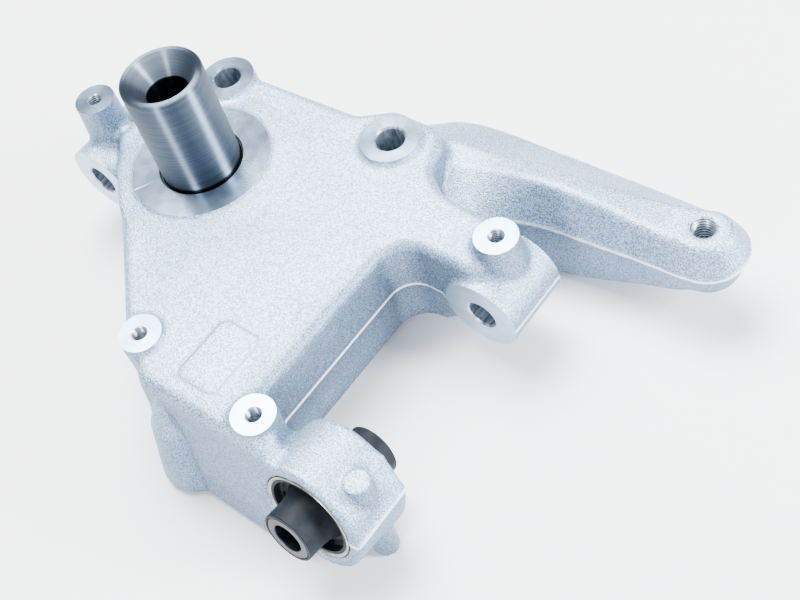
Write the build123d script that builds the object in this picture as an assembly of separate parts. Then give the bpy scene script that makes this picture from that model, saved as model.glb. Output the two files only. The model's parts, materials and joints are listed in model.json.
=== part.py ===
from build123d import *
import os
from math import cos, radians, sin, tan

# Steering knuckle: one aluminium casting with a hollow steel stub axle pressed into its hub and a
# rubber bush in its lower eye. Millimetres. The origin is on the stub axle's line at the machined
# hub face. Z runs out along the stub axle, Y along the two cross-bored lugs and X toward the arm.

# Levels of the casting along Z
PLATE_TOP = -3.0           # as-cast top of the main plate
PARTING = -30.0            # plane where the two halves of the mould met
UNDERSIDE = -59.0          # rims and bosses below
FOOT_BOTTOM = -68.0        # foot at the front corner, the lowest face
PAD_TOP = 0.0              # faced pads round the clamp holes, level with the hub face
DRAFT = 4.0                # degrees of slope on the cast walls
EDGE_ROUND = 6.0           # rounding of the plate's upper edge

# Underside ribbing
SKIN = 11.0                # thickness of the plate
WALL = 10.0                # thickness of the rim wall
RIB = 7.0
RIB_PITCH = 35.0

# Stub axle and hub
AXLE_R = 20.0
AXLE_TOP = 58.0
AXLE_SEAT_R = 20.5         # thicker seat that is pressed into the hub
AXLE_DEPTH = 48.0          # length pressed into the hub
AXLE_BORE_R = 10.0
AXLE_MOUTH_R = 17.0        # wide end of the cone in the mouth
AXLE_MOUTH_DEPTH = 11.0
AXLE_CHAMFER = 1.0
HUB_FACE_R = 33.5
HUB_R = 31.0
RELIEF_R = 21.3            # undercut ring round the foot of the axle
RELIEF_DEPTH = 1.6
HUB_DRAIN_R = 12.0
HUB_RISE_R = 47.0          # where the plate starts to rise to the hub face
HUB_STEP = 0.6             # step left at the faced ring's edge

# Clamp holes through the plate
CLAMP_HOLES = [(-27.0, 49.5), (77.0, 54.5)]
CLAMP_HOLE_R = 7.25
CLAMP_PAD_R = 14.2
CLAMP_BOSS_SPREAD = 2.2    # how much wider the boss is in the parting plane

# Tapped bosses, M8
M8_TAP_R = 3.4
M8_DEPTH = 20.0
FLAT_BOSSES = [(45.1, -91.0), (119.5, -95.5)]
FLAT_BOSS_R = 10.1
FLAT_BOSS_TOP = 0.0

# Cross-bored lugs along Y, each with its axis x and front face y, and the posts on them
LEFT_LUG = (-68.0, -21.0)
LEFT_LUG_LENGTH = 38.6
LEFT_LUG_R = 19.4
LEFT_LUG_HOLE_R = 8.25
LEFT_POST = (-70.3, -1.4)
LEFT_POST_R = 10.4
LEFT_POST_TOP = 11.5
RIGHT_LUG = (158.5, 7.4)
RIGHT_LUG_LENGTH = 35.1
RIGHT_LUG_R = 18.8
RIGHT_LUG_HOLE_R = 7.25
RIGHT_POST = (158.2, 28.0)
RIGHT_POST_R = 10.2
RIGHT_POST_TOP = 4.5
POST_SPREAD = (2.0, 3.8)   # how much wider the left and the right post's cone is at its foot
POST_FOOT = -25.0          # level where the posts' cones end inside the lugs

# Eye for the rubber bush
EYE_TILT = 10.4            # degrees that the eye's front looks upward
EYE_FRONT = (152.8, -112.9, -31.9)
EYE_LENGTH = 33.0
EYE_R = 28.2
WEB_ROOT = (104.0, -86.0)  # where the web to the eye leaves the plate, and its back there
WEB_EDGE = 5.0             # rounding of the web's upper edges
CHEEK = [                  # outline of the cheek beside the barrel, as (x, z)
    (182.0, -30.0), (181.2, -39.0), (170.0, -51.0), (150.0, -51.0), (150.0, -14.0), (171.0, -14.0),
]
BUSH_SHELL_R = 22.4
BUSH_SHELL_T = 1.5
BUSH_CORE_R = 11.4
BUSH_BORE_R = 7.25
BUSH_CORE_LENGTH = 57.0
BUSH_NECK_R = 12.7         # rubber collar moulded over the core
RUBBER_WEB_LENGTH = 22.0
RUBBER_SLOT_R = (15.6, 19.2)
RUBBER_SLOT_ARC = 110.0    # degrees of each open slot
RUBBER_SLOT_TURN = 60.0

# Ejector pin boss through the eye's shoulder
PIN_AT = (172.5, -94.5)
PIN_R = 5.5
PIN_TOP = -9.0
PIN_BOTTOM = -65.0

# Foot at the front corner
FOOT_AT = (69.0, -106.0)
FOOT_R = 20.2
FOOT_MIDDLE_R = 12.5       # at the parting plane
FOOT_TOP_R = 4.0           # where it runs out in the wall
FOOT_TOP = -12.0

# Steering arm
ARM_TIP = (227.0, 87.0)    # middle of the rounded end
ARM_HOLE = (225.2, 87.3)
ARM_TIP_TOP = -15.7        # where the tapped hole's mouth meets the crowned top
ARM_SEAT = -45.5           # faced seat under the tip, round the tapped hole
ARM_SEAT_R = 14.0
M12_TAP_R = 5.1

# Marking field, left blank
FIELD_SIZE = (22.0, 33.0)
FIELD_AT = (84.5, -80.8)
FIELD_CORNER = 4.0
FIELD_HEIGHT = 0.5

# Outline of the plate in the parting plane
PLATE = [
    (80.5, -125.0), (30.0, -90.9), (-58.0, -7.9), (-59.0, 28.0), (-44.0, 55.0), (-27.0, 61.0), (48.0, 64.5),
    (64.0, 76.0), (90.0, 76.0), (100.0, 68.0), (105.0, 52.0), (116.0, 44.5), (158.0, 40.0),
    (162.0, 12.0), (150.0, 9.0), (115.0, 9.0), (115.0, -92.0), (135.0, -92.0), (135.0, -125.0),
]
HOLLOW = [
    (68.0, -104.0), (55.0, -97.5), (-46.0, -3.0), (-47.0, 25.0), (-36.0, 45.0), (-20.0, 50.0),
    (50.0, 53.0), (66.0, 63.0), (88.0, 63.0), (100.0, 43.0), (112.0, 33.0), (112.0, 20.0),
    (104.0, 20.0), (104.0, -95.0), (120.0, -95.0), (120.0, -125.0), (68.0, -125.0),
]
PLATE_CORNER = 9.0
BAY_CORNER = (115.0, 9.0)  # inner corner of the bay, rounded wider
BAY_CORNER_R = 13.0
LUG_RISE = [(127.0, -61.0), (142.0, -48.0)]   # underside rising to the right lug, as (x, z)
LUG_RISE_Y = (-6.0, 44.0)
LUG_WEB = [(-68.0, -16.0), (-30.0, -16.0), (-30.0, 28.0), (-56.0, 17.0), (-74.0, 16.0)]
LUG_WEB_Z = (-46.0, -14.0)
RIM_X = (70.0, 140.0)      # span of the deeper rim under the front wall
FAR = 400.0                # reach of cutters that pass right through the part
MARGIN = 2.0               # reach of cutters beyond a face they open

# Sections of the steering arm at a place along X: near parting line, near and far top shoulders,
# far parting line, far and near bottom corners, each as (y, z)
ARM_SECTIONS = [
    (72.0, [(42.0, -30.0), (58.0, -13.0), (72.0, -11.0), (93.0, -30.0), (90.0, -59.0), (44.0, -59.0)]),
    (100.0, [(43.0, -30.0), (66.0, -17.0), (78.0, -16.0), (103.8, -30.0), (99.5, -63.0), (45.0, -63.0)]),
    (120.0, [(48.0, -30.0), (71.0, -16.0), (81.0, -16.5), (104.6, -30.0), (101.0, -67.0), (50.0, -67.0)]),
    (140.0, [(58.0, -30.0), (73.0, -12.5), (83.0, -14.5), (104.8, -30.0), (101.0, -69.0), (59.5, -69.0)]),
    (160.0, [(63.0, -30.0), (74.0, -11.0), (84.5, -13.5), (105.2, -30.0), (101.2, -67.5), (64.5, -67.5)]),
    (190.0, [(65.5, -30.0), (74.0, -12.5), (88.0, -14.5), (105.8, -30.0), (101.8, -58.5), (67.5, -58.5)]),
    (212.0, [(67.0, -30.0), (74.0, -14.5), (93.5, -15.5), (106.0, -30.0), (101.5, -51.0), (70.0, -51.0)]),
    (227.0, [(67.8, -30.0), (75.5, -16.0), (98.5, -16.0), (106.2, -30.0), (101.0, -45.5), (73.0, -45.5)]),
]
ARM_EDGE = 4.0             # rounding of the arm's long edges
CHANNEL = [(112.0, -28.0), (203.0, -34.0)]   # roof of the channel under the arm, as (x, z)
CHANNEL_WIDTH = 20.0
CHANNEL_Y = 86.0


def frustum(x, y, low_z, low_r, high_z, high_r):
    """Round boss along Z between two levels."""
    height = high_z - low_z
    if abs(low_r - high_r) < 1e-6:
        body = Cylinder(low_r, height)
    else:
        body = Cone(low_r, high_r, height)
    return Pos(x, y, (low_z + high_z) / 2) * body


def drafted(outline, low_z, high_z, draft=DRAFT):
    """Solid on an outline drawn in the parting plane, narrowing both ways with the draft."""
    base = Plane.XY.offset(PARTING) * outline
    halves = []
    for level in (low_z, high_z):
        inset = abs(level - PARTING) * tan(radians(draft))
        end = Plane.XY.offset(level) * offset(outline, -inset, kind=Kind.INTERSECTION)
        halves.append(loft([base.face(), end.face()], ruled=True))
    return halves[0] + halves[1]


def eye_frame():
    """Plane on the eye's front face, its normal running forward along the bush."""
    tilt = radians(EYE_TILT)
    return Plane(origin=EYE_FRONT, x_dir=(1, 0, 0), z_dir=(0, -cos(tilt), sin(tilt)))


def behind_front(inset):
    """Everything behind the plane of the eye's front face, less an inset."""
    return eye_frame() * Pos(0, 0, -FAR / 2 - inset) * Box(2 * FAR, 2 * FAR, FAR)


def top_edges(body, level):
    return [e for e in body.edges() if abs(e.center().Z - level) < 0.01]


def plate():
    """Deep plate: drafted outline, tilted front wall and rounded upper edges."""
    outline = make_face(Polyline(*PLATE, close=True))
    others = [v for v in outline.vertices() if (v.X, v.Y) != BAY_CORNER]
    outline = fillet(others, PLATE_CORNER)
    bay = [v for v in outline.vertices() if abs(v.X - BAY_CORNER[0]) + abs(v.Y - BAY_CORNER[1]) < 0.1]
    outline = fillet(bay, BAY_CORNER_R)
    body = drafted(outline, UNDERSIDE, PLATE_TOP) & behind_front(0)
    return fillet(top_edges(body, PLATE_TOP), EDGE_ROUND)


def front_rim():
    """Deeper rim under the front wall, from the foot to the eye."""
    x0, x1 = RIM_X
    strip = Pos((x0 + x1) / 2, 0, FOOT_BOTTOM) * Rectangle(x1 - x0, FAR)
    rim = extrude(strip, UNDERSIDE - FOOT_BOTTOM)
    return rim & behind_front(0) - behind_front(WALL)


def lug_rise():
    """Cutter that lifts the underside beside the right lug."""
    (x0, z0), (x1, z1) = LUG_RISE
    side = make_face(Polyline((x0, z0), (x1, z1), (FAR, z1), (FAR, -FAR), (x0, -FAR), close=True))
    y0, y1 = LUG_RISE_Y
    return Pos(0, y1, 0) * extrude(Plane.XZ * side, y1 - y0)


def pockets():
    """Hollow under the plate, cut into cells by the ribs and the hub."""
    inner = make_face(Polyline(*HOLLOW, close=True))
    roof = PLATE_TOP - SKIN
    hollow = Pos(0, 0, UNDERSIDE) * extrude(inner, roof - UNDERSIDE) & behind_front(WALL)
    for i in range(-3, 5):
        hollow -= Pos(i * RIB_PITCH, 0) * Box(RIB, FAR, FAR)
        hollow -= Pos(0, i * RIB_PITCH) * Box(FAR, RIB, FAR)
    columns = [(0, 0, HUB_R)]
    columns += [(x, y, CLAMP_PAD_R + CLAMP_BOSS_SPREAD) for x, y in CLAMP_HOLES]
    columns += [(x, y, FLAT_BOSS_R) for x, y in FLAT_BOSSES]
    for x, y, radius in columns:
        hollow -= Pos(x, y) * Cylinder(radius, FAR)
    return hollow


def lug(place, length, radius):
    """Round barrel along Y, from its front face backward."""
    x, y = place
    return Pos(x, y + length / 2, PARTING) * Rot(90, 0, 0) * Cylinder(radius, length)


def on_eye(forward, up):
    """(y, z) of a point this far ahead of the eye's front face and above the bush's line."""
    tilt = radians(EYE_TILT)
    y = EYE_FRONT[1] - forward * cos(tilt) + up * sin(tilt)
    return y, EYE_FRONT[2] + forward * sin(tilt) + up * cos(tilt)


def across(x, points):
    """Face in the plane across X at this place, from (y, z) points."""
    outline = make_face(Polyline(*points, close=True))
    return (Plane(origin=(x, 0, 0), x_dir=(0, 1, 0), z_dir=(1, 0, 0)) * outline).face()


def eye_block():
    """Barrel round the bush, the web that carries it from the plate and the cheek beside it."""
    barrel = eye_frame() * extrude(Circle(EYE_R), -EYE_LENGTH)
    top_y, low_y = (on_eye(0, level - EYE_FRONT[2])[0] for level in (PLATE_TOP, UNDERSIDE))
    root_x, back = WEB_ROOT
    root = across(root_x, [(top_y, PLATE_TOP), (back, PLATE_TOP), (back, UNDERSIDE), (low_y, UNDERSIDE)])
    end = across(EYE_FRONT[0], [
        on_eye(0, EYE_R), on_eye(-EYE_LENGTH, EYE_R), on_eye(-EYE_LENGTH, -EYE_R), on_eye(0, -EYE_R)])
    web = loft([root, end], ruled=True)
    upper = [e for e in web.edges() if e.center().Z > PARTING and abs(e.tangent_at(0.5).X) > 0.8]
    web = fillet(upper, WEB_EDGE)
    cheek = extrude(Plane.XZ * make_face(Polyline(*CHEEK, close=True)), FAR, both=True)
    cheek = cheek & behind_front(0) - behind_front(EYE_LENGTH)
    return barrel + web + cheek


def arm():
    """Steering arm: rounded sections lofted from the root, closed by half a turn at the tip."""
    faces = []
    for x, points in ARM_SECTIONS:
        section = across(x, points)
        faces.append(fillet(section.vertices(), ARM_EDGE).face())
    beam = loft(faces)
    x, y = ARM_TIP
    keep = Pos(x, y + FAR / 2, 0) * Box(1, FAR, FAR)
    half = faces[-1] & keep
    tip = revolve(half, axis=Axis((x, y, 0), (0, 0, 1)), revolution_arc=-180)
    return beam + tip


def arm_channel():
    """Channel under the arm, its roof rising toward the root."""
    (x0, z0), (x1, z1) = CHANNEL
    side = make_face(Polyline((x0, z0), (x1, z1), (x1, -FAR), (x0, -FAR), close=True))
    return Pos(0, CHANNEL_Y + CHANNEL_WIDTH / 2, 0) * extrude(Plane.XZ * side, CHANNEL_WIDTH)


def bosses():
    """Columns that carry the faced pads and the tapped posts, and the foot."""
    body = frustum(0, 0, UNDERSIDE, HUB_R, PLATE_TOP, HUB_R)
    body += frustum(0, 0, PLATE_TOP, HUB_RISE_R, -HUB_STEP, HUB_FACE_R)
    body += frustum(0, 0, PLATE_TOP, HUB_FACE_R, 0, HUB_FACE_R)
    for x, y in FLAT_BOSSES:
        body += frustum(x, y, UNDERSIDE, FLAT_BOSS_R, FLAT_BOSS_TOP, FLAT_BOSS_R)
    left, right = POST_SPREAD
    body += frustum(*LEFT_POST, POST_FOOT, LEFT_POST_R + left, LEFT_POST_TOP, LEFT_POST_R)
    body += frustum(*RIGHT_POST, POST_FOOT, RIGHT_POST_R + right, RIGHT_POST_TOP, RIGHT_POST_R)
    for x, y in CLAMP_HOLES:
        body += frustum(x, y, PARTING, CLAMP_PAD_R + CLAMP_BOSS_SPREAD, PAD_TOP, CLAMP_PAD_R)
        body += frustum(x, y, UNDERSIDE, CLAMP_PAD_R, PARTING, CLAMP_PAD_R + CLAMP_BOSS_SPREAD)
    body += frustum(*FOOT_AT, FOOT_BOTTOM, FOOT_R, PARTING, FOOT_MIDDLE_R)
    body += frustum(*FOOT_AT, PARTING, FOOT_MIDDLE_R, FOOT_TOP, FOOT_TOP_R)
    body += frustum(*PIN_AT, PIN_BOTTOM, PIN_R, PIN_TOP, PIN_R)
    return body


def lug_web():
    """Web that joins the left lug to the plate's wall."""
    return drafted(make_face(Polyline(*LUG_WEB, close=True)), *LUG_WEB_Z)


def drill(x, y, top, radius, depth, chamfer=0.6):
    """Cutter for a hole along Z with a chamfered mouth, clear of any metal just above it."""
    hole = Pos(x, y, top - depth / 2) * Cylinder(radius, depth)
    mouth = frustum(x, y, top - chamfer, radius, top, radius + chamfer)
    return hole + mouth + frustum(x, y, top, radius + chamfer, top + MARGIN, radius + chamfer)


def cross_drill(place, length, radius):
    """Cutter for a hole along Y right through a lug."""
    x, y = place
    return Pos(x, y + length / 2, PARTING) * Rot(90, 0, 0) * Cylinder(radius, length + 2 * MARGIN)


def knuckle_casting():
    """The casting, with its faced pads, bores and tapped holes."""
    body = plate() - pockets() - lug_rise()
    body += front_rim()
    body += arm() - arm_channel()
    body += eye_block()
    body += lug(LEFT_LUG, LEFT_LUG_LENGTH, LEFT_LUG_R)
    body += lug(RIGHT_LUG, RIGHT_LUG_LENGTH, RIGHT_LUG_R)
    body += lug_web()
    body += bosses()
    fx, fy = FIELD_AT
    field = extrude(RectangleRounded(*FIELD_SIZE, FIELD_CORNER), FIELD_HEIGHT, both=True)
    body += Pos(fx, fy, PLATE_TOP) * field
    # bores and drilled holes
    body -= Pos(0, 0, -AXLE_DEPTH / 2) * Cylinder(AXLE_SEAT_R, AXLE_DEPTH)
    body -= Pos(0, 0, -RELIEF_DEPTH / 2) * Cylinder(RELIEF_R, RELIEF_DEPTH)
    body -= Cylinder(HUB_DRAIN_R, FAR)
    for x, y in CLAMP_HOLES:
        body -= Pos(x, y) * Cylinder(CLAMP_HOLE_R, FAR)
    for x, y in FLAT_BOSSES:
        body -= drill(x, y, FLAT_BOSS_TOP, M8_TAP_R, M8_DEPTH)
    body -= drill(*LEFT_POST, LEFT_POST_TOP, M8_TAP_R, M8_DEPTH)
    body -= drill(*RIGHT_POST, RIGHT_POST_TOP, M8_TAP_R, M8_DEPTH)
    body -= cross_drill(LEFT_LUG, LEFT_LUG_LENGTH, LEFT_LUG_HOLE_R)
    body -= cross_drill(RIGHT_LUG, RIGHT_LUG_LENGTH, RIGHT_LUG_HOLE_R)
    body -= drill(*ARM_HOLE, ARM_TIP_TOP, M12_TAP_R, FAR)
    body -= Pos(*ARM_HOLE, ARM_SEAT - FAR / 2) * Cylinder(ARM_SEAT_R, FAR)
    body -= eye_frame() * Pos(0, 0, -EYE_LENGTH / 2) * Cylinder(BUSH_SHELL_R, 2 * EYE_LENGTH)
    return body


def stub_axle():
    """Hollow steel axle with a coned mouth."""
    bore = AXLE_BORE_R
    profile = Polyline(
        (bore, -AXLE_DEPTH), (AXLE_SEAT_R, -AXLE_DEPTH), (AXLE_SEAT_R, -RELIEF_DEPTH),
        (AXLE_R, -RELIEF_DEPTH), (AXLE_R, AXLE_TOP - AXLE_CHAMFER), (AXLE_R - AXLE_CHAMFER, AXLE_TOP),
        (AXLE_MOUTH_R, AXLE_TOP), (bore, AXLE_TOP - AXLE_MOUTH_DEPTH), close=True)
    return revolve(Plane.XZ * make_face(profile), axis=Axis.Z)


def bush_ring(outer, inner, front, length):
    """Plain ring on the bush's line, its front end this far ahead of the eye's face."""
    ring = Pos(0, 0, front - length / 2) * (Cylinder(outer, length) - Cylinder(inner, length))
    return eye_frame() * ring


def bush_rubber():
    """Rubber body: a collar along the core, a flared web and two open slots beside the core."""
    middle = -EYE_LENGTH / 2
    half_core = BUSH_CORE_LENGTH / 2
    half_web = RUBBER_WEB_LENGTH / 2
    outer = BUSH_SHELL_R - BUSH_SHELL_T
    profile = Polyline(
        (BUSH_CORE_R, -half_core), (BUSH_NECK_R, -half_core), (BUSH_NECK_R, -half_web - 8.0),
        (BUSH_NECK_R + 2.5, -half_web), (outer, -half_web), (outer, half_web),
        (BUSH_NECK_R + 2.5, half_web), (BUSH_NECK_R, half_web + 8.0), (BUSH_NECK_R, half_core),
        (BUSH_CORE_R, half_core), close=True)
    body = revolve(Plane.XZ * make_face(profile), axis=Axis.Z)
    slot_r = (RUBBER_SLOT_R[0] + RUBBER_SLOT_R[1]) / 2
    width = RUBBER_SLOT_R[1] - RUBBER_SLOT_R[0]
    for turn in (0, 180):
        arc = CenterArc((0, 0), slot_r, turn - RUBBER_SLOT_ARC / 2, RUBBER_SLOT_ARC)
        body -= extrude(SlotArc(arc, width), 60, both=True)
    return eye_frame() * Pos(0, 0, middle) * Rot(0, 0, RUBBER_SLOT_TURN) * body


def export(name, shape):
    """Write one piece under its node's name."""
    shape.label = name
    export_step(shape, "parts/" + name + ".step")


os.makedirs("parts", exist_ok=True)
core_front = (BUSH_CORE_LENGTH - EYE_LENGTH) / 2
export("knuckle_casting", knuckle_casting())
export("stub_axle", stub_axle())
export("bush_shell", bush_ring(BUSH_SHELL_R, BUSH_SHELL_R - BUSH_SHELL_T, -0.5, EYE_LENGTH - 1.0))
export("bush_rubber", bush_rubber())
export("bush_core", bush_ring(BUSH_CORE_R, BUSH_BORE_R, core_front, BUSH_CORE_LENGTH))
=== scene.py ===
import json
from math import cos, pi, radians, sin

import bmesh
import bpy
import numpy as np
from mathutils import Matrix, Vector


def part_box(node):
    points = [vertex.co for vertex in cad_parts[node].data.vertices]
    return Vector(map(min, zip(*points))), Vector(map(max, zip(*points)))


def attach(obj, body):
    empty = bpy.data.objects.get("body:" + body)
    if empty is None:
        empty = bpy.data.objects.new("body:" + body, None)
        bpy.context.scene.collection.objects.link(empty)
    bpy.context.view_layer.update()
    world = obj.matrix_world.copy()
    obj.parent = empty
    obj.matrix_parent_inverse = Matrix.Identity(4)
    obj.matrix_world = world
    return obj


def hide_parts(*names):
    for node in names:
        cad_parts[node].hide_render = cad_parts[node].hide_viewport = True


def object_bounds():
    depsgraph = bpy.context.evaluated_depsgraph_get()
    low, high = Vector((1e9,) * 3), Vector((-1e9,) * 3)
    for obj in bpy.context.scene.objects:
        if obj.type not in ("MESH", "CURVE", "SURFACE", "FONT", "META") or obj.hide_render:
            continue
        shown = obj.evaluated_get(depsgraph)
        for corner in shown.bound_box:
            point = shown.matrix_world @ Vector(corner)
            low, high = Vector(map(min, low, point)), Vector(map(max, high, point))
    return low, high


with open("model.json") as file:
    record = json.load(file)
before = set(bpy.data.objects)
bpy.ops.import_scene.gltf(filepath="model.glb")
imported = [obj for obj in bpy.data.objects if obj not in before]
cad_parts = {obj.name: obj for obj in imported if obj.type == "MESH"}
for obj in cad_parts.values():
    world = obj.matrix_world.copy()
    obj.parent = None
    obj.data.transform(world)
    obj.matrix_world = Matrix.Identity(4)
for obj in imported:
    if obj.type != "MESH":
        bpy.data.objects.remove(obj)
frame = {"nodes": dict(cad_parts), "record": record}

import openvdb
from mathutils import Matrix

cad_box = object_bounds()

# Camera: a still camera above the front corner, looking down on the plate. Its place and aim were
# solved from the ellipses that the pads and holes make in the photograph.
camera_data = bpy.data.cameras.new("camera")
camera_data.lens = 58.5
camera_data.sensor_width = 36.0
camera_data.clip_end = 20.0
camera = bpy.data.objects.new("camera", camera_data)
camera.matrix_world = Matrix((
    (0.7770, -0.3981, 0.4877, 0.41210),
    (0.5958, 0.7153, -0.3653, -0.22274),
    (-0.2034, 0.5743, 0.7929, 0.44424),
    (0.0, 0.0, 0.0, 1.0)))
bpy.context.scene.collection.objects.link(camera)
bpy.context.scene.camera = camera

# Knuckle casting: one piece of aluminium alloy, gravity cast in a two-part steel mould, shot
# blasted, then faced, bored, drilled and tapped. Every inside corner of the raw casting is a
# fillet and every outside corner a small round; the machined faces are cut crisp through them.
MM = 0.001
VOXEL = 0.9   # mm, step of the distance field that the skin is rounded in
BAND = 3.0                 # steps that a distance field keeps on either side of its surface
CAST_FILLET = 3.0          # mm, inside corners
CAST_ROUND = 1.5           # mm, outside corners
STOCK = 5.0                # mm of metal on a raw pad, which the facing cut takes off
STOCK_FOOT = -2.0          # mm, level in the boss where that metal starts
SHAPING_REACH = 3.0        # mm, how far from the skin the ridge, panel and pin boss are shaped
PARTING_Z = -30.0          # mm, where the mould's halves met
FLASH_HEIGHT = 0.55        # mm, ridge left at the parting line
FLASH_HALF = 0.75          # mm, half the ridge's width
LINE_SLANT = 0.5           # the ridge was ground off where slant * x + y is below the edge,
LINE_EDGE = -42.0          # mm, which is the wall along the front
PANEL_AT = (84.5, -80.8)   # mm, middle of the raised panel on the plate
PANEL_HALF = (11.0, 16.5)  # mm, half its width and its length
PANEL_CORNER = 4.0         # mm, radius of its corners
PANEL_TOP = -2.3           # mm
PIN_AT = (172.5, -94.5)    # mm, ejector pin boss that runs down through the eye's shoulder
PIN_R = 6.0
PIN_LEVELS = (-67.5, -8.4)


def node_surface(name):
    """Points in millimetres and triangles of a CAD node."""
    data = frame["nodes"][name].data
    data.calc_loop_triangles()
    points = np.empty(len(data.vertices) * 3, np.float32)
    data.vertices.foreach_get("co", points)
    faces = np.empty(len(data.loop_triangles) * 3, np.int32)
    data.loop_triangles.foreach_get("vertices", faces)
    return points.reshape(-1, 3) / MM, faces.reshape(-1, 3)


def axes_of(direction):
    """Three unit vectors, the last along the direction: the other two are its cross products."""
    along = np.asarray(direction, float) / np.linalg.norm(direction)
    helper = np.array((1.0, 0.0, 0.0)) if abs(along[0]) < 0.9 else np.array((0.0, 1.0, 0.0))
    side = np.cross(along, helper)
    side /= np.linalg.norm(side)
    return np.cross(side, along), side, along


def turned(profile, origin, direction, sides=64, wobble=None):
    """A profile of (radius, height) pairs carried round a line: each point of the surface is
    origin + height along the line + radius times the turning unit vector. Ends at radius 0 close
    to one point. wobble(turn, height) may add to the radius, as a thread does."""
    u, v, along = axes_of(direction)
    radius, height = np.asarray(profile, float).T
    turn = np.linspace(0, 2 * pi, sides, endpoint=False)
    turn_grid, height_grid = np.meshgrid(turn, height)
    radius_grid = np.repeat(radius[:, None], sides, axis=1)
    if wobble is not None:
        radius_grid = radius_grid + wobble(turn_grid, height_grid) * (radius_grid > 0)
    outward = np.cos(turn_grid)[..., None] * u + np.sin(turn_grid)[..., None] * v
    points = np.asarray(origin) + height_grid[..., None] * along + radius_grid[..., None] * outward
    rows = len(profile)
    index = np.arange(rows * sides).reshape(rows, sides)
    ahead = np.roll(index, -1, axis=1)
    quads = np.stack([index[:-1], ahead[:-1], ahead[1:], index[1:]], axis=-1).reshape(-1, 4)
    points = points.reshape(-1, 3)
    merged = np.arange(len(points))
    for row in (0, rows - 1):
        if radius[row] < 1e-9:
            merged[index[row]] = index[row, 0]
    if np.allclose(profile[0], profile[-1], rtol=0, atol=1e-9):
        merged[index[-1]] = index[0]
    return points, merged[quads]


def mesh_object(name, points, faces, materials, slot=0):
    """A mesh from arrays in millimetres: faces whose corners repeat lose the repeated corner."""
    used, inverse = np.unique(faces.ravel(), return_inverse=True)
    faces = inverse.reshape(faces.shape)
    corners = [tuple(dict.fromkeys(face)) for face in faces.tolist()]
    data = bpy.data.meshes.new(name)
    data.from_pydata((points[used] * MM).tolist(), [], [c for c in corners if len(c) > 2])
    data.validate()
    for finish in materials:
        data.materials.append(finish)
    data.polygons.foreach_set("material_index", np.full(len(data.polygons), slot, np.int32))
    made = bpy.data.objects.new(name, data)
    bpy.context.scene.collection.objects.link(made)
    return made


def distance_field(points, triangles, quads, reach):
    """Signed distance to a closed surface, known this many millimetres to either side of it."""
    return openvdb.FloatGrid.createLevelSetFromPolygons(
        np.ascontiguousarray(points, np.float32),
        triangles=np.ascontiguousarray(triangles, np.uint32),
        quads=np.ascontiguousarray(quads, np.uint32),
        transform=openvdb.createLinearTransform(voxelSize=VOXEL), halfWidth=reach / VOXEL + BAND)


def offset_surface(surface, distance):
    """Contour of the distance field this far outside a closed surface, or inside if negative."""
    return distance_field(*surface, abs(distance)).convertToPolygons(isovalue=distance)


hub_face = (0.0, 0.0, 0.0)
UP, FRONT, BACK = (0, 0, 1), (0, -1, 0), (0, 1, 0)
faced_pads = [               # centre of the cut, outward direction, radius of the boss, of the cut
    (hub_face, UP, 33.5, 40.0),
    ((-27.0, 49.5, 0.0), UP, 14.2, 19.5),
    ((77.0, 54.5, 0.0), UP, 14.2, 19.5),
    ((45.1, -91.0, 0.0), UP, 10.1, 15.0),
    ((119.5, -95.5, 0.0), UP, 10.1, 15.0),
    ((-70.3, -1.4, 11.5), UP, 10.4, 16.0),
    ((158.2, 28.0, 4.5), UP, 10.2, 17.0),
    ((-68.0, -21.0, -30.0), FRONT, 19.4, 26.0),
    ((-68.0, 17.6, -30.0), BACK, 19.4, 26.0),
    ((158.5, 7.4, -30.0), FRONT, 18.8, 26.0),
    ((158.5, 42.5, -30.0), BACK, 18.8, 26.0),
]

# Raw skin: the CAD casting with stock on its pads. Growing it, shrinking it past its size and
# growing it back leaves a fillet in each inside corner and a round on each outside one.
points, triangles = node_surface("knuckle_casting")
all_points, all_quads, count = [points], [], len(points)
for centre, direction, boss_r, _ in faced_pads:
    stock_points, stock_quads = turned(
        [(0, STOCK_FOOT), (boss_r, STOCK_FOOT), (boss_r, STOCK), (0, STOCK)], centre, direction)
    all_points.append(stock_points)
    all_quads.append(stock_quads + count)
    count += len(stock_points)
skin = (np.concatenate(all_points), triangles, np.concatenate(all_quads))
skin = offset_surface(skin, CAST_FILLET)
skin = offset_surface(skin, -CAST_FILLET - CAST_ROUND)
skin = offset_surface(skin, CAST_ROUND)

# Ridge, panel and pin boss: each is a distance in millimetres, negative inside, and the smallest
# distance of all is that of their union with the skin.
field = distance_field(*skin, SHAPING_REACH)
low, high = (np.array(c) for c in field.evalActiveVoxelBoundingBox())
corner_voxel = tuple(int(c) for c in low)
dense = np.empty(tuple(high - low + 1), np.float32)
field.copyToArray(dense, ijk=corner_voxel)
across, along, level = np.meshgrid(
    *(np.arange(a, b + 1) * VOXEL for a, b in zip(low, high)), indexing="ij", sparse=True)
flash = np.maximum(dense - FLASH_HEIGHT, np.abs(level - PARTING_Z) - FLASH_HALF)
left_on = LINE_SLANT * across + along > LINE_EDGE
dense = np.where(left_on, np.minimum(dense, flash), dense)
beyond_x = np.abs(across - PANEL_AT[0]) - PANEL_HALF[0] + PANEL_CORNER
beyond_y = np.abs(along - PANEL_AT[1]) - PANEL_HALF[1] + PANEL_CORNER
from_panel = np.hypot(np.maximum(beyond_x, 0), np.maximum(beyond_y, 0)) - PANEL_CORNER
panel = np.maximum(from_panel, np.abs(level - PANEL_TOP + STOCK) - STOCK)
pin_middle, pin_half = np.mean(PIN_LEVELS), np.ptp(PIN_LEVELS) / 2
pin = np.maximum(np.hypot(across - PIN_AT[0], along - PIN_AT[1]) - PIN_R,
                 np.abs(level - pin_middle) - pin_half)
dense = np.minimum(dense, np.minimum(panel, pin)).astype(np.float32)
shaped = openvdb.FloatGrid(background=BAND * VOXEL)
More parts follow.
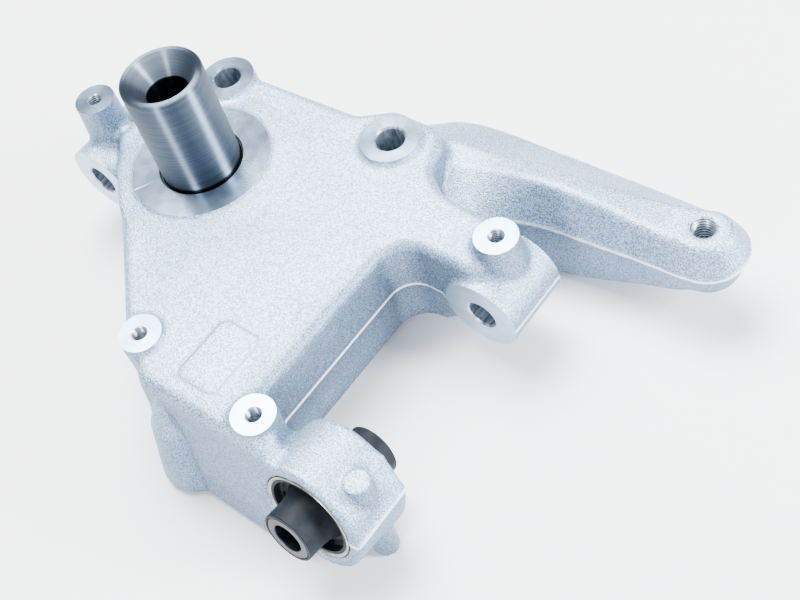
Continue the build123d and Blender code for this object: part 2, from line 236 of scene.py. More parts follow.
shaped.transform = openvdb.createLinearTransform(voxelSize=VOXEL)
shaped.copyFromArray(dense, ijk=corner_voxel, tolerance=0)
points, triangles, quads = shaped.convertToPolygons(isovalue=0)
skin_mesh = bpy.data.meshes.new("cast_skin")
skin_mesh.from_pydata((points * MM).tolist(), [], triangles.tolist() + quads.tolist())
skin_object = bpy.data.objects.new("cast_skin", skin_mesh)
bpy.context.scene.collection.objects.link(skin_object)
SKIN_TRIANGLES = 140000    # as many as the skin keeps, most of them where it curves
thin = skin_object.modifiers.new("thin", "DECIMATE")
thin.ratio = min(1.0, SKIN_TRIANGLES / (2 * len(quads) + len(triangles)))


def apply_modifiers(made):
    """Replace an object's mesh by the one that its modifiers give."""
    graph = bpy.context.evaluated_depsgraph_get()
    finished = bpy.data.meshes.new_from_object(made.evaluated_get(graph))
    made.modifiers.clear()
    old, made.data = made.data, finished
    bpy.data.meshes.remove(old)


apply_modifiers(skin_object)


def linear(hex_colour):
    """sRGB hex to linear RGBA: each channel c is ((c + 0.055) / 1.055) ** 2.4, or c / 12.92 when
    it is dark."""
    channels = np.array([int(hex_colour[i:i + 2], 16) for i in (1, 3, 5)]) / 255.0
    bright = ((channels + 0.055) / 1.055) ** 2.4
    return (*np.where(channels > 0.04045, bright, channels / 12.92).tolist(), 1.0)


def plug(tree, node, links):
    """Fill inputs by name or number: each gets a value of its own or another node's output."""
    for name, value in links.items():
        if isinstance(value, bpy.types.NodeSocket):
            tree.links.new(value, node.inputs[name])
        else:
            node.inputs[name].default_value = value


def add(tree, kind, settings=None, links=None, stops=()):
    """One node: settings are its properties, links its inputs, and stops the places and hex
    colours of its colour ramp, from the first to the last."""
    made = tree.nodes.new(kind)
    for name, value in (settings or {}).items():
        setattr(made, name, value)
    plug(tree, made, links or {})
    if stops:
        elements = made.color_ramp.elements
        for element, (place, colour) in zip(elements, (stops[0], stops[-1])):
            element.position, element.color = place, linear(colour)
        for place, colour in stops[1:-1]:
            elements.new(place).color = linear(colour)
    return made


def material(name):
    """A node material that holds only its output and one Principled shader."""
    made = bpy.data.materials.new(name)
    made.use_nodes = True
    tree = made.node_tree
    return made, tree, tree.nodes["Principled BSDF"]


CELL = 1.6                 # widths of a lump in one cell of the noise


def scale_for(lump_mm):
    """Noise scale that gives lumps about this wide on the part: one over the cell in metres."""
    return 1.0 / (lump_mm * MM * CELL)


MULTIPLY = {"data_type": "RGBA", "blend_type": "MULTIPLY"}
BLEND = {"data_type": "RGBA"}
FACTOR, FIRST, SECOND, RESULT = 0, 6, 7, 2   # sockets of a Mix node that mixes colours

# Shot-blasted cast aluminium: the shot leaves a dull, even, fine-grained skin that glints where
# the dimples face the light. Faces that point up are painted lighter and faces that point down
# darker, and the inside corners are painted darker: painted light and shade. The dimples are too
# fine to show from here, so they are drawn 0.42 mm wide, about twice the real width.
cast_skin, tree, shader = material("shot_blasted_cast_aluminium")
on_part = add(tree, "ShaderNodeTexCoord").outputs["Object"]
grit = add(tree, "ShaderNodeTexNoise", None, {
    "Vector": on_part, "Scale": scale_for(0.42), "Detail": 1.0}).outputs["Fac"]
mottle = add(tree, "ShaderNodeTexNoise", None, {
    "Vector": on_part, "Scale": scale_for(20.0), "Detail": 3.0}).outputs["Fac"]
edge = add(tree, "ShaderNodeAttribute", {"attribute_name": "corner"}).outputs["Fac"]
facing = add(tree, "ShaderNodeSeparateXYZ", None, {
    "Vector": add(tree, "ShaderNodeNewGeometry").outputs["Normal"]}).outputs["Z"]
glint = add(tree, "ShaderNodeValToRGB", None, {"Fac": grit}, [
    (0.36, "#86959F"), (0.5, "#B1C4D6"), (0.64, "#E6F5FF")]).outputs["Color"]
tone = add(tree, "ShaderNodeValToRGB", None, {"Fac": mottle}, [
    (0.3, "#D9DFE6"), (0.7, "#FFFFFF")]).outputs["Color"]
# Painted light and shade: faces that point up are painted lighter, faces that point down darker.
painted_light_from_above = add(tree, "ShaderNodeValToRGB", None, {"Fac": facing}, [
    (0.2, "#A6B1BF"), (0.9, "#EAF4FF")]).outputs["Color"]
# Painted shade: the inside corners, where the corner attribute is under 0.5, are painted darker.
painted_corner_shade = add(tree, "ShaderNodeValToRGB", None, {"Fac": edge}, [
    (0.2, "#5E6A7A"), (0.5, "#FFFFFF")]).outputs["Color"]
metal = glint
for strength, layer in ((0.7, tone), (1.0, painted_light_from_above), (0.7, painted_corner_shade)):
    metal = add(tree, "ShaderNodeMix", MULTIPLY, {
        FACTOR: strength, FIRST: metal, SECOND: layer}).outputs[RESULT]

# A painted highlight runs bright along the ridge at the parting line.
height = add(tree, "ShaderNodeSeparateXYZ", None, {"Vector": on_part}).outputs["Z"]
off_line = add(tree, "ShaderNodeMath", {"operation": "ADD"}, {
    0: height, 1: -PARTING_Z * MM}).outputs[0]
off_line = add(tree, "ShaderNodeMath", {"operation": "ABSOLUTE"}, {0: off_line}).outputs[0]
ridge = add(tree, "ShaderNodeMapRange", None, {
    "Value": off_line, "From Min": 0.35 * MM, "From Max": 0.95 * MM,
    "To Min": 0.85, "To Max": 0.0}).outputs["Result"]
slanted = add(tree, "ShaderNodeVectorMath", {"operation": "DOT_PRODUCT"}, {
    0: on_part, 1: (LINE_SLANT, 1.0, 0.0)}).outputs["Value"]
left_on = add(tree, "ShaderNodeMath", {"operation": "GREATER_THAN"}, {
    0: slanted, 1: LINE_EDGE * MM}).outputs[0]
ridge = add(tree, "ShaderNodeMath", {"operation": "MULTIPLY"}, {
    0: ridge, 1: left_on}).outputs[0]
metal = add(tree, "ShaderNodeMix", BLEND, {
    FACTOR: ridge, FIRST: metal, SECOND: linear("#F2F7FD")}).outputs[RESULT]

# A line of painted shade runs round the step of the raised panel. The shader measures the distance
# to the rounded rectangle that the panel was shaped with; the metre keeps the height out of it.
STEP_SHADE_OUT = 0.5             # mm, middle of the line, outside the panel's edge
PLATE_LEVEL = -5.0         # mm, below which no shade is painted
beyond = on_part
for operation, operand in (
        ("SUBTRACT", (PANEL_AT[0] * MM, PANEL_AT[1] * MM, 0.0)),
        ("ABSOLUTE", (0.0, 0.0, 0.0)),
        ("SUBTRACT", (*((h - PANEL_CORNER) * MM for h in PANEL_HALF), 1.0)),
        ("MAXIMUM", (0.0, 0.0, 0.0))):
    beyond = add(tree, "ShaderNodeVectorMath", {"operation": operation}, {
        0: beyond, 1: operand}).outputs["Vector"]
off_step = add(tree, "ShaderNodeVectorMath", {"operation": "LENGTH"}, {
    0: beyond}).outputs["Value"]
off_step = add(tree, "ShaderNodeMath", {"operation": "SUBTRACT"}, {
    0: off_step, 1: (PANEL_CORNER + STEP_SHADE_OUT) * MM}).outputs[0]
off_step = add(tree, "ShaderNodeMath", {"operation": "ABSOLUTE"}, {0: off_step}).outputs[0]
# Painted shade: a grey line along the panel's step.
painted_step_shade = add(tree, "ShaderNodeMapRange", None, {
    "Value": off_step, "From Min": 0.3 * MM, "From Max": 1.0 * MM,
    "To Min": 0.55, "To Max": 0.0}).outputs["Result"]
on_top = add(tree, "ShaderNodeMath", {"operation": "GREATER_THAN"}, {
    0: height, 1: PLATE_LEVEL * MM}).outputs[0]
painted_step_shade = add(tree, "ShaderNodeMath", {"operation": "MULTIPLY"}, {
    0: painted_step_shade, 1: on_top}).outputs[0]
metal = add(tree, "ShaderNodeMix", BLEND, {
    FACTOR: painted_step_shade, FIRST: metal, SECOND: linear("#6F7B8A")}).outputs[RESULT]
rough = add(tree, "ShaderNodeMapRange", None, {
    "Value": grit, "To Min": 0.4, "To Max": 0.62}).outputs["Result"]
bump = add(tree, "ShaderNodeBump", None, {
    "Height": grit, "Strength": 0.8, "Distance": 0.4 * MM}).outputs["Normal"]
plug(tree, shader, {"Base Color": metal, "Metallic": 0.75, "Roughness": rough, "Normal": bump})

# Faced aluminium: a cutter has swept the pads flat, which leaves them bright, and its fine rings
# round the hole draw each highlight out from the middle. They are too fine to draw one by one.
faced, tree, shader = material("faced_aluminium")
on_part = add(tree, "ShaderNodeTexCoord").outputs["Object"]
outward = add(tree, "ShaderNodeAttribute", {"attribute_name": "from_centre"}).outputs["Vector"]
cloud = add(tree, "ShaderNodeTexNoise", None, {
    "Vector": on_part, "Scale": scale_for(5.0), "Detail": 3.0}).outputs["Fac"]
bright = add(tree, "ShaderNodeValToRGB", None, {"Fac": cloud}, [
    (0.3, "#869CB4"), (0.7, "#A3B8CD")]).outputs["Color"]
rough = add(tree, "ShaderNodeMapRange", None, {
    "Value": cloud, "To Min": 0.2, "To Max": 0.27}).outputs["Result"]
plug(tree, shader, {"Base Color": bright, "Metallic": 0.95, "Roughness": rough,
                    "Anisotropic": 0.5, "Tangent": outward})

# Drilled aluminium: the walls of bores and tapped holes, scored along by the tool as it came out.
# The threads' walls are drawn lighter, and painted shade darkens the roots of the threads and the
# undercut round the axle's foot.
drilled, tree, shader = material("drilled_aluminium")
on_part = add(tree, "ShaderNodeTexCoord").outputs["Object"]
drawn = add(tree, "ShaderNodeMapping", None, {
    "Vector": on_part, "Scale": (1.0, 0.15, 0.15)}).outputs["Vector"]
streak = add(tree, "ShaderNodeTexNoise", None, {
    "Vector": drawn, "Scale": scale_for(0.8), "Detail": 2.0}).outputs["Fac"]
scored = add(tree, "ShaderNodeValToRGB", None, {"Fac": streak}, [
    (0.35, "#6E7B8B"), (0.65, "#C2CEDA")]).outputs["Color"]
groove = add(tree, "ShaderNodeAttribute", {"attribute_name": "groove"}).outputs["Fac"]
threaded = add(tree, "ShaderNodeMath", {"operation": "GREATER_THAN"}, {
    0: groove, 1: 0.1}).outputs[0]
# Painted shade: near black in the roots of the threads and in the undercut.
root = add(tree, "ShaderNodeMapRange", None, {
    "Value": groove, "From Min": 0.4, "From Max": 0.8}).outputs["Result"]
wall = scored
for share, colour in ((threaded, "#CBD7E3"), (root, "#14181D")):
    wall = add(tree, "ShaderNodeMix", BLEND, {
        FACTOR: share, FIRST: wall, SECOND: linear(colour)}).outputs[RESULT]
plug(tree, shader, {"Base Color": wall, "Metallic": 0.75, "Roughness": 0.36})

finishes = (cast_skin, faced, drilled)
FACED_SLOT, DRILLED_SLOT = 1, 2
for finish in finishes:
    skin_object.data.materials.append(finish)

# Machining: each tool is a solid that is taken away from the skin, and every face that it leaves
# keeps the tool's finish. The holes' places and sizes are those of the part's mounts.
WELD = 0.004               # mm, points closer than this after a cut are one


def weld(made):
    """Join points that all but coincide and drop the needle faces that this leaves without area."""
    work = bmesh.new()
    work.from_mesh(made.data)
    bmesh.ops.triangulate(work, faces=work.faces)
    bmesh.ops.remove_doubles(work, verts=work.verts, dist=WELD * MM)
    bmesh.ops.dissolve_degenerate(work, edges=work.edges, dist=WELD * MM)
    work.to_mesh(made.data)
    work.free()


def cut(made, cutters):
    """Take the cutters away from a mesh; each new face keeps the finish of its cutter."""
    for cutter in cutters:
        step = made.modifiers.new(cutter.name, "BOOLEAN")
        step.operation, step.solver, step.object = "DIFFERENCE", "MANIFOLD", cutter
    apply_modifiers(made)
    weld(made)
    for cutter in cutters:
        bpy.data.objects.remove(cutter)


def screw(core, nominal, pitch, top):
    """Thread of a tapped hole, up to this height: what it adds to the core's radius follows a
    triangle wave of (height / pitch - turn), from nothing to the nominal radius."""
    def wave(turn, height):
        phase = (height / pitch - turn / (2 * pi)) % 1.0
        depth = (nominal - core) * (1.0 - np.abs(2.0 * phase - 1.0))
        return np.where(height <= top + 1e-6, depth, 0.0)
    return wave


mounts = {m["name"]: m for m in frame["record"]["mounts"]}
cutters = []
FACING_TOP = STOCK + 4     # mm, the facing cutter clears the stock
for i, (centre, direction, _, cut_r) in enumerate(faced_pads):
    points, faces = turned(
        [(0, 0), (cut_r, 0), (cut_r, FACING_TOP), (0, FACING_TOP)], centre, direction, 48)
    cutters.append(mesh_object("facing_%d" % i, points, faces, finishes, FACED_SLOT))

BORE_EDGE = 0.8            # mm, broken edge at either end of a bore
FLARE = 4                  # mm that the cutter widens past it
for i, name in enumerate(("clamp_hole_rear", "clamp_hole_front", "left_lug_bore", "right_lug_bore")):
    m = mounts[name]
    r, half = m["dims"]["r_mm"], m["dims"]["length_mm"] / 2
    bottom, top = -half - 3, half + 3.2
    profile = [(0, bottom), (r + FLARE, bottom), (r, -half + BORE_EDGE), (r, half - BORE_EDGE),
               (r + FLARE, top), (0, top)]
    points, faces = turned(profile, np.array(m["pos_m"]) / MM, m["axis"], 64)
    cutters.append(mesh_object("bore_%d" % i, points, faces, finishes, DRILLED_SLOT))

tapped = [                   # mount, nominal radius, pitch, whether the hole goes right through
    ("left_post_tapped_hole", 4.0, 1.25, False),
    ("right_post_tapped_hole", 4.0, 1.25, False),
    ("corner_tapped_hole", 4.0, 1.25, False),
    ("eye_tapped_hole", 4.0, 1.25, False),
    ("arm_tapped_hole", 6.0, 1.75, True)]
ROWS_PER_TURN = 6          # of points along one turn of thread
RUN_OUT = 4                # mm that the cutter of a through hole runs on below
DRILL_POINT = 1.5          # mm, cone that the drill left below a blind one
TAP_MOUTH = 0.6            # mm, the flare at the top ends this far past the hole,
TAP_FLARE = 0.9            # mm long
TAP_WIDER = 0.1            # mm, and this much wider than the thread
TAP_OVER = 2               # mm that the cutter goes on above it
for name, nominal, pitch, through in tapped:
    m = mounts[name]
    core, half = m["dims"]["r_mm"], m["dims"]["length_mm"] / 2
    foot = -half - RUN_OUT if through else -half
    tip = foot if through else foot - DRILL_POINT
    mouth, wide = half + TAP_MOUTH, nominal + TAP_WIDER
    rows = int((2 * half) / (pitch / ROWS_PER_TURN))
    heights = np.linspace(foot, mouth - TAP_FLARE, rows)
    profile = [(0, tip)] + [(core, h) for h in heights]
    profile += [(wide, mouth), (wide, mouth + TAP_OVER), (0, mouth + TAP_OVER)]
    points, faces = turned(profile, np.array(m["pos_m"]) / MM, m["axis"], 28,
                           screw(core, nominal, pitch, heights[-1]))
    cutters.append(mesh_object("tap_" + name, points, faces, finishes, DRILLED_SLOT))

AXLE_SEAT_R, AXLE_FOOT_Z = 20.5, -48.0          # mm, the axle's seat in the hub and its depth
DRAIN_R, DRAIN_Z = 12.0, -80                    # mm, drain below it, cut clear of the underside
UNDERCUT_R, UNDERCUT_Z = 21.3, (-1.6, -0.4)     # mm, groove round the axle's foot
HUB_MOUTH_R, HUB_MOUTH_Z = 21.9, 0.2            # mm, broken edge above the groove
hub_bore = [
    (0, DRAIN_Z), (DRAIN_R, DRAIN_Z), (DRAIN_R, AXLE_FOOT_Z), (AXLE_SEAT_R, AXLE_FOOT_Z),
    (AXLE_SEAT_R, UNDERCUT_Z[0]), (UNDERCUT_R, UNDERCUT_Z[0]), (UNDERCUT_R, UNDERCUT_Z[1]),
    (HUB_MOUTH_R, HUB_MOUTH_Z), (HUB_MOUTH_R, FACING_TOP), (0, FACING_TOP)]
points, faces = turned(hub_bore, hub_face, UP, 96)
cutters.append(mesh_object("hub_bore", points, faces, finishes, DRILLED_SLOT))

bush = mounts["bush_bore"]
eye_centre, eye_axis = np.array(bush["pos_m"]) / MM, bush["axis"]
EYE_HALF = 16.5            # mm, half the eye's length
EYE_EDGE = 0.6             # mm, broken edge at either end
EYE_OVER = 6               # mm that the cutter goes on past the ends
SHELL_R = 22.4             # mm, the bush's shell fits the eye
eye_bore = [
    (0, -EYE_HALF - EYE_OVER), (SHELL_R + 6.5, -EYE_HALF - EYE_OVER),
    (SHELL_R, -EYE_HALF + EYE_EDGE), (SHELL_R, EYE_HALF - EYE_EDGE),
    (SHELL_R + EYE_EDGE, EYE_HALF + 0.02), (SHELL_R + EYE_EDGE, EYE_HALF + EYE_OVER),
    (0, EYE_HALF + EYE_OVER)]
points, faces = turned(eye_bore, eye_centre, eye_axis, 96)
cutters.append(mesh_object("eye_bore", points, faces, finishes, DRILLED_SLOT))
cut(skin_object, cutters)

# corner attribute: how far each point of the cast skin stands out of its neighbours' mean, along
# its normal, blurred over several steps: under 0.5 in an inside corner and over 0.5 on an edge.
CORNER_STEPS = 6           # how many edges away the mean reaches
CORNER_BLUR = 3
CORNER_GAIN = 0.35         # per mm
data = skin_object.data
count = len(data.vertices)
place = np.empty(count * 3)
data.vertices.foreach_get("co", place)
place = place.reshape(-1, 3) / MM
normal = np.empty(count * 3)
data.vertices.foreach_get("normal", normal)
normal = normal.reshape(-1, 3)
links = np.empty(len(data.edges) * 2, np.int32)
data.edges.foreach_get("vertices", links)
links = links.reshape(-1, 2)
valence = np.maximum(np.bincount(links.ravel(), minlength=count), 1)


def mean_of_neighbours(values):
    """Average of a value over the vertices that share an edge with each vertex."""
    total = np.zeros_like(values)
    np.add.at(total, links[:, 0], values[links[:, 1]])
    np.add.at(total, links[:, 1], values[links[:, 0]])
    return total / (valence[:, None] if values.ndim > 1 else valence)


smooth_place = place
for _ in range(CORNER_STEPS):
    smooth_place = mean_of_neighbours(smooth_place)
corner = ((place - smooth_place) * normal).sum(axis=1)
for _ in range(CORNER_BLUR):
    corner = mean_of_neighbours(corner)
corner = np.clip(0.5 + corner * CORNER_GAIN, 0.0, 1.0)
data.attributes.new("corner", "FLOAT", "POINT").data.foreach_set(
    "value", corner.astype(np.float32))

# from_centre attribute: on a faced pad, the way from the middle of its cut, across the cutter's
# rings. Off the pads nothing reads it.
OFF_PAD = 9.0
PAD_NEAR = 0.6             # mm, points this near to a pad's plane lie on the pad
from_centre = np.full((count, 3), OFF_PAD)
nearest = np.full(count, np.inf)
for centre, direction, _, cut_r in faced_pads:
    outward = np.array(direction, float)
    away = place - np.array(centre)
    height = np.abs(away @ outward)
    flat = away - (away @ outward)[:, None] * outward
    closer = (height < PAD_NEAR) & (np.linalg.norm(flat, axis=1) < cut_r) & (height < nearest)
    nearest[closer] = height[closer]
    from_centre[closer] = flat[closer]
data.attributes.new("from_centre", "FLOAT_VECTOR", "POINT").data.foreach_set(
    "vector", from_centre.astype(np.float32).ravel())

# groove attribute: from 0.2 on a thread's crest to 1 in its root, 1 in the undercut at the axle's
# foot, and 0 elsewhere.
THREAD_CREST = 0.2
THREAD_NEAR = 0.15         # mm, points up to this far outside a thread belong to it,
THREAD_END = 0.29          # mm, but not this close to the hole's ends, where the flare starts
UNDERCUT_NEAR = 0.2        # mm
groove = np.zeros(count)
for name, nominal, pitch, through in tapped:
    m = mounts[name]
    axis, core, half = np.array(m["axis"], float), m["dims"]["r_mm"], m["dims"]["length_mm"] / 2
    away = place - np.array(m["pos_m"]) / MM
    height = away @ axis
    radius = np.linalg.norm(away - height[:, None] * axis, axis=1)
    inside = (radius < nominal + THREAD_NEAR) & (np.abs(height) < half - THREAD_END)
    depth = np.clip((radius[inside] - core) / (nominal - core), 0, 1)
    groove[inside] = THREAD_CREST + (1 - THREAD_CREST) * depth
radius = np.hypot(place[:, 0], place[:, 1])
in_undercut = (radius > AXLE_SEAT_R - UNDERCUT_NEAR) & (radius < UNDERCUT_R + UNDERCUT_NEAR)
in_undercut &= place[:, 2] > UNDERCUT_Z[0] - UNDERCUT_NEAR
in_undercut &= place[:, 2] < UNDERCUT_Z[1] + UNDERCUT_NEAR
groove[in_undercut] = 1.0
data.attributes.new("groove", "FLOAT", "POINT").data.foreach_set(
    "value", groove.astype(np.float32))

# The finished skin keeps within the CAD casting's box, to the last hair of its rounds.
lowest, highest = (np.array(c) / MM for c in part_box("knuckle_casting"))
data.vertices.foreach_set(
    "co", (np.clip(place, lowest, highest) * MM).astype(np.float32).ravel())
data.polygons.foreach_set("use_smooth", np.ones(len(data.polygons), bool))
data.set_sharp_from_angle(angle=radians(32))
skin_object.name = "machined_casting"
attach(skin_object, "root")
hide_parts("knuckle_casting")

# Stub axle: turned and ground from steel bar, bored right through, with a cone in its mouth that
# the lathe's centre ran in, and pressed into the hub.
AXLE_R, AXLE_BORE_R, AXLE_TOP = 20.0, 10.0, 58.0
axle_profile = [             # seat in the hub, wall, rounded rim, cone, bore
    (AXLE_BORE_R, AXLE_FOOT_Z), (AXLE_SEAT_R - 0.5, AXLE_FOOT_Z),
    (AXLE_SEAT_R, AXLE_FOOT_Z + 0.5), (AXLE_SEAT_R, UNDERCUT_Z[0]),
    (AXLE_R, UNDERCUT_Z[0]), (AXLE_R, 56.8),
    (AXLE_R - 0.3, 57.4), (AXLE_R - 1.0, 57.9), (AXLE_R - 1.4, AXLE_TOP), (17.2, AXLE_TOP),
    (16.9, 57.8), (10.15, 47.2), (AXLE_BORE_R, 46.9), (AXLE_BORE_R, AXLE_FOOT_Z)]
points, faces = turned(axle_profile, hub_face, UP, 128)

# Ground steel: grey and fairly dull, and its rings draw the highlights out along the bar. Painted
# shade darkens the bore and the foot. The rings are some 0.15 mm apart, drawn 0.45 mm so they show.
ground_steel, tree, shader = material("ground_steel")
on_part = add(tree, "ShaderNodeTexCoord").outputs["Object"]
ringed = add(tree, "ShaderNodeMapping", None, {
    "Vector": on_part, "Scale": (0.01, 0.01, 1.0)}).outputs["Vector"]
lathe_marks = add(tree, "ShaderNodeTexNoise", None, {
    "Vector": ringed, "Scale": scale_for(0.45), "Detail": 1.0}).outputs["Fac"]
steel_tone = add(tree, "ShaderNodeValToRGB", None, {"Fac": lathe_marks}, [
    (0.3, "#525C69"), (0.7, "#5F6A78")]).outputs["Color"]
from_axis = add(tree, "ShaderNodeVectorMath", {"operation": "MULTIPLY"}, {
    0: on_part, 1: (1.0, 1.0, 0.0)}).outputs["Vector"]
from_axis = add(tree, "ShaderNodeVectorMath", {"operation": "LENGTH"}, {
    0: from_axis}).outputs["Value"]
# Painted shade: the bore, and the foot where the axle goes into the hub, are painted near black.
bored = add(tree, "ShaderNodeMapRange", None, {
    "Value": from_axis, "From Min": (AXLE_BORE_R + 0.2) * MM, "From Max": (AXLE_BORE_R + 0.6) * MM,
    "To Min": 1.0, "To Max": 0.0}).outputs["Result"]
height = add(tree, "ShaderNodeSeparateXYZ", None, {"Vector": on_part}).outputs["Z"]
foot = add(tree, "ShaderNodeMapRange", None, {
    "Value": height, "From Min": 0.4 * MM, "From Max": 1.6 * MM,
    "To Min": 0.95, "To Max": 0.0}).outputs["Result"]
painted_bore_and_foot_shade = add(tree, "ShaderNodeMath", {"operation": "MAXIMUM"}, {0: bored, 1: foot}).outputs[0]
steel_tone = add(tree, "ShaderNodeMix", BLEND, {
    FACTOR: painted_bore_and_foot_shade, FIRST: steel_tone, SECOND: linear("#0B0D11")}).outputs[RESULT]
# Across the rings is along the bar on its wall and outward on its end: the sum of both does.
across_rings = add(tree, "ShaderNodeVectorMath", {"operation": "MULTIPLY_ADD"}, {
    0: on_part, 1: (1.0, 1.0, 0.0), 2: (0.0, 0.0, AXLE_R * MM)}).outputs["Vector"]
bump = add(tree, "ShaderNodeBump", None, {
    "Height": lathe_marks, "Strength": 0.025, "Distance": 0.04 * MM}).outputs["Normal"]
plug(tree, shader, {"Base Color": steel_tone, "Metallic": 1.0, "Roughness": 0.42,
                    "Anisotropic": 1.0, "Tangent": across_rings, "Normal": bump})


def finish_piece(piece, node):
    """Shade a mesh smooth but for its edges and let it stand in for its CAD node."""
    piece.data.polygons.foreach_set("use_smooth", np.ones(len(piece.data.polygons), bool))
    piece.data.set_sharp_from_angle(angle=radians(30))
    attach(piece, "root")
    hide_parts(node)


axle = mesh_object("turned_stub_axle", points, faces, [ground_steel])
finish_piece(axle, "stub_axle")

# Bush shell: a thin steel tube with bevelled ends, zinc plated and pressed into the eye. The
# plating gives it a soft, faintly yellow shine that is a little cloudy.
zinc, tree, shader = material("zinc_plated_steel")
on_part = add(tree, "ShaderNodeTexCoord").outputs["Object"]
cloud = add(tree, "ShaderNodeTexNoise", None, {
    "Vector": on_part, "Scale": scale_for(3.0), "Detail": 3.0}).outputs["Fac"]
plating = add(tree, "ShaderNodeValToRGB", None, {"Fac": cloud}, [
    (0.3, "#77766A"), (0.7, "#AEAC9B")]).outputs["Color"]
plug(tree, shader, {"Base Color": plating, "Metallic": 0.85, "Roughness": 0.34})
SHELL_BORE_R, LINING_HALF = 20.9, 15.4
shell_end = [(SHELL_BORE_R, LINING_HALF), (21.7, 16.0), (22.1, 16.0), (SHELL_R, 15.7)]
shell_foot = [(r, -h) for r, h in shell_end]
points, faces = turned(shell_foot + shell_end[::-1] + shell_foot[:1], eye_centre, eye_axis, 96)
shell = mesh_object("plated_bush_shell", points, faces, [zinc])
finish_piece(shell, "bush_shell")

# Bush rubber: black rubber moulded between core and shell. It lines the shell, and two open slots
# beside the core let it give one way. It is dull, with a faint sheen where its lips turn over.
black_rubber, tree, shader = material("moulded_rubber")
on_part = add(tree, "ShaderNodeTexCoord").outputs["Object"]
cloud = add(tree, "ShaderNodeTexNoise", None, {
    "Vector": on_part, "Scale": scale_for(2.0), "Detail": 4.0}).outputs["Fac"]
moulded = add(tree, "ShaderNodeValToRGB", None, {"Fac": cloud}, [
    (0.3, "#0C1015"), (0.75, "#141B23")]).outputs["Color"]
bump = add(tree, "ShaderNodeBump", None, {
    "Height": cloud, "Strength": 0.3, "Distance": 0.2 * MM}).outputs["Normal"]
plug(tree, shader, {"Base Color": moulded, "Roughness": 0.6, "Specular IOR Level": 0.15,
                    "Normal": bump})
LINING_R = 19.4
rubber_half = [              # collar over the core, neck, floor of the rubber, lining of the shell
    (11.45, 28.4), (12.3, 28.5), (12.7, 28.1), (12.7, 19.0), (13.2, 15.0), (15.2, 11.0),
    (LINING_R - 1.0, 10.6), (LINING_R, 11.6), (LINING_R, LINING_HALF), (SHELL_BORE_R, LINING_HALF)]
rubber_profile = rubber_half + [(r, -h) for r, h in reversed(rubber_half)] + rubber_half[:1]
points, faces = turned(rubber_profile[::-1], eye_centre, eye_axis, 96)
rubber = mesh_object("moulded_bush_rubber", points, faces, [black_rubber])
SLOT_TURN, SLOT_HALF = 60.0, 55.0        # degrees, middle of a slot and half its arc
SLOT_RADII, SLOT_REACH = (15.6, 19.2), 25.0   # mm
SLOT_SECTIONS = 25


def slot_bar(centre, axis, middle_turn):
    """Curved bar for a slot: a section's corners are (radius, height) pairs, carried through the
    slot's arc, and each is centre + radius times the turning unit vector + height on the axis."""
    right = np.array((1.0, 0.0, 0.0))
    along = np.asarray(axis, float)
    above = np.cross(along, right)
    arc = np.radians(np.linspace(-SLOT_HALF, SLOT_HALF, SLOT_SECTIONS))
    turn = np.radians(middle_turn) + arc
    outward = np.cos(turn)[:, None] * right + np.sin(turn)[:, None] * above
    inner, outer = SLOT_RADII
    radius = np.array((inner, outer, outer, inner))
    height = np.array((-SLOT_REACH, -SLOT_REACH, SLOT_REACH, SLOT_REACH))
    points = (centre + outward[:, None, :] * radius[None, :, None]
              + along * height[None, :, None])
    index = np.arange(points.shape[0] * 4).reshape(-1, 4)
    ahead = np.roll(index, -1, axis=1)
    sides = np.stack([index[:-1], index[1:], ahead[1:], ahead[:-1]], axis=-1).reshape(-1, 4)
    caps = np.array([index[0], index[-1][::-1]])
    return points.reshape(-1, 3), np.concatenate([sides, caps])


bars = []
for side in (0, 180):
    points, faces = slot_bar(eye_centre, eye_axis, SLOT_TURN + side)
    bars.append(mesh_object("slot_%d" % side, points, faces, [black_rubber]))
cut(rubber, bars)
finish_piece(rubber, "bush_rubber")

# Bush core: a thick steel tube that carries the bolt, held in the rubber. Phosphating leaves it
# dark grey and fairly dull.
phosphated, tree, shader = material("phosphated_steel")
on_part = add(tree, "ShaderNodeTexCoord").outputs["Object"]
cloud = add(tree, "ShaderNodeTexNoise", None, {
    "Vector": on_part, "Scale": scale_for(1.5), "Detail": 3.0}).outputs["Fac"]
dark = add(tree, "ShaderNodeValToRGB", None, {"Fac": cloud}, [
    (0.3, "#171C22"), (0.7, "#262D36")]).outputs["Color"]
plug(tree, shader, {"Base Color": dark, "Metallic": 0.8, "Roughness": 0.42})
CORE_R, CORE_BORE_R, CORE_HALF = 11.4, 7.25, 28.5
CORE_EDGE, CORE_MOUTH = 0.6, 0.4         # mm, bevels outside and in the mouth
core_profile = [
    (CORE_BORE_R, -CORE_HALF), (CORE_R - CORE_EDGE, -CORE_HALF), (CORE_R, -CORE_HALF + CORE_EDGE),
    (CORE_R, CORE_HALF - CORE_EDGE), (CORE_R - CORE_EDGE, CORE_HALF),
    (CORE_BORE_R + CORE_MOUTH, CORE_HALF), (CORE_BORE_R, CORE_HALF - CORE_MOUTH),
    (CORE_BORE_R, -CORE_HALF)]
points, faces = turned(core_profile, eye_centre, eye_axis, 96)
core = mesh_object("bored_bush_core", points, faces, [phosphated])
finish_piece(core, "bush_core")

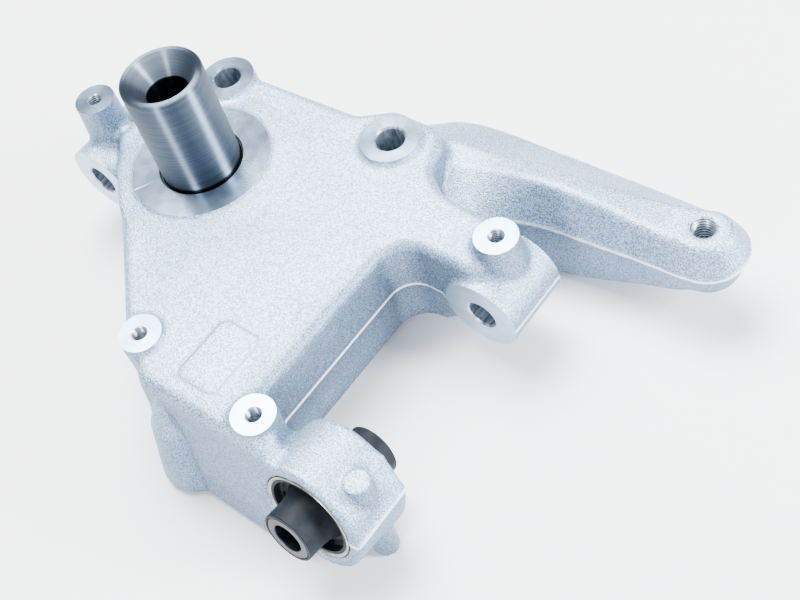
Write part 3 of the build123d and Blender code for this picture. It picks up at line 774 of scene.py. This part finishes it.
# Floor: a flat sheet of pale paper that the part lies on. It is matt, so that it shows nothing
# but the part's soft shadows.
FLOOR_HALF, FLOOR_Z = 4, cad_box[0][2]   # m
floor_mesh = bpy.data.meshes.new("floor")
floor_mesh.from_pydata([
    (-FLOOR_HALF, -FLOOR_HALF, FLOOR_Z), (FLOOR_HALF, -FLOOR_HALF, FLOOR_Z),
    (FLOOR_HALF, FLOOR_HALF, FLOOR_Z), (-FLOOR_HALF, FLOOR_HALF, FLOOR_Z)], [], [(0, 1, 2, 3)])
pale_paper, tree, shader = material("pale_paper")
plug(tree, shader, {"Base Color": linear("#F7F8FA"), "Roughness": 0.9})
floor_mesh.materials.append(pale_paper)
floor = bpy.data.objects.new("floor", floor_mesh)
bpy.context.scene.collection.objects.link(floor)

# Studio: a pale blue room, a broad light overhead and two low strips of light.
world = bpy.data.worlds.new("studio")
world.use_nodes = True
room = world.node_tree.nodes["Background"]
plug(world.node_tree, room, {"Color": linear("#D2DFEE"), "Strength": 0.6})
bpy.context.scene.world = world
LIT_AT = (0.06, 0.0, 0.0)                # m, middle of the part


def soft_box(name, azimuth, elevation, distance, width, height, watts, colour):
    """Area light that faces the part from this direction, in degrees and metres."""
    light = bpy.data.lights.new(name, "AREA")
    light.shape, light.size, light.size_y = "RECTANGLE", width, height
    light.energy, light.color = watts, linear(colour)[:3]
    made = bpy.data.objects.new(name, light)
    az, el = radians(azimuth), radians(elevation)
    back = np.array((cos(az) * cos(el), sin(az) * cos(el), sin(el)))
    right = np.array((-sin(az), cos(az), 0.0))
    up = np.cross(back, right)
    place = np.array(LIT_AT) + distance * back
    made.matrix_world = Matrix((
        (right[0], up[0], back[0], place[0]), (right[1], up[1], back[1], place[1]),
        (right[2], up[2], back[2], place[2]), (0, 0, 0, 1)))
    bpy.context.scene.collection.objects.link(made)


# The broad light whitens the plate and pads. The strips draw the bright lines down the axle's
# sides and lift the walls that face left and right.
soft_box("overhead", 142, 69, 1.2, 0.9, 0.75, 82.0, "#FFFFFF")
soft_box("left_strip", -74, 20, 1.1, 0.2, 0.6, 14.0, "#F6FAFF")
soft_box("right_strip", 20, 20, 1.1, 0.26, 0.6, 38.0, "#F6FAFF")
